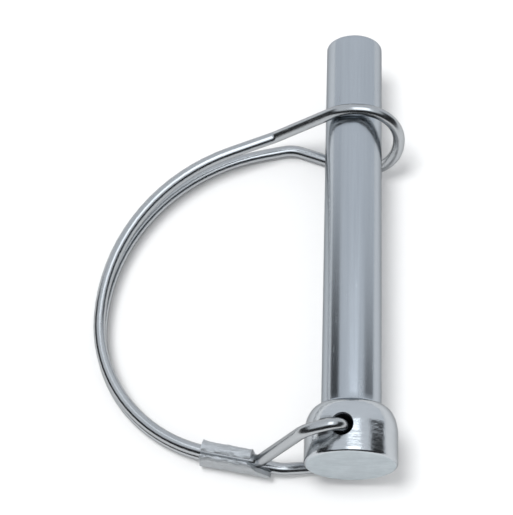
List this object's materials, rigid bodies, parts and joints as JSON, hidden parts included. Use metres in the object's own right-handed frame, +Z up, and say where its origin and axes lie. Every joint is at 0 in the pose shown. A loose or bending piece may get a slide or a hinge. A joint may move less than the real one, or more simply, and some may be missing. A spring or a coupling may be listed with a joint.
{
  "type": "hitch pin lock",
  "caption": "Headed round steel locking pin with a doubled spring-wire bail hooked into a cross hole in the head, a crimped ferrule, and an eye that snaps round the shank.",
  "frame": {"origin": "centre of the head's flat end face, on the pin's axis", "axes": "+Y along the pin from the head's end face to the tip; +Z up, away from the surface that the lock lies on; the wire bail's hoop lies towards -X"},
  "size_m": [0.0511, 0.0762, 0.0202],
  "materials": {
    "pin_zinc": "bright zinc plate over turned steel, dull cut end face",
    "wire_zinc": "bright zinc plate on drawn spring wire",
    "ferrule_zinc": "zinc-plated sheet with crimp marks"
  },
  "bodies": {
    "pin": {"pin": "pin_zinc"},
    "bail": {"wire_upper_strand": "wire_zinc", "wire_lower_strand": "wire_zinc", "ferrule": "ferrule_zinc"},
    "eye": {"wire_eye": "wire_zinc"}
  },
  "joints": [
    {"name": "bail_swing", "type": "hinge", "parent": "pin", "child": "bail", "pos_m": [0, 0.0044, 0], "axis": [-0.2419, 0, 0.9703], "range_deg": [0, 232]},
    {"name": "eye_slide", "type": "slide", "parent": "bail", "child": "eye", "axis": [0, 1, 0], "range_m": [0, 0.0215], "stiffness_N_per_m": 3000, "deforming": ["wire_eye"]}
  ]
}
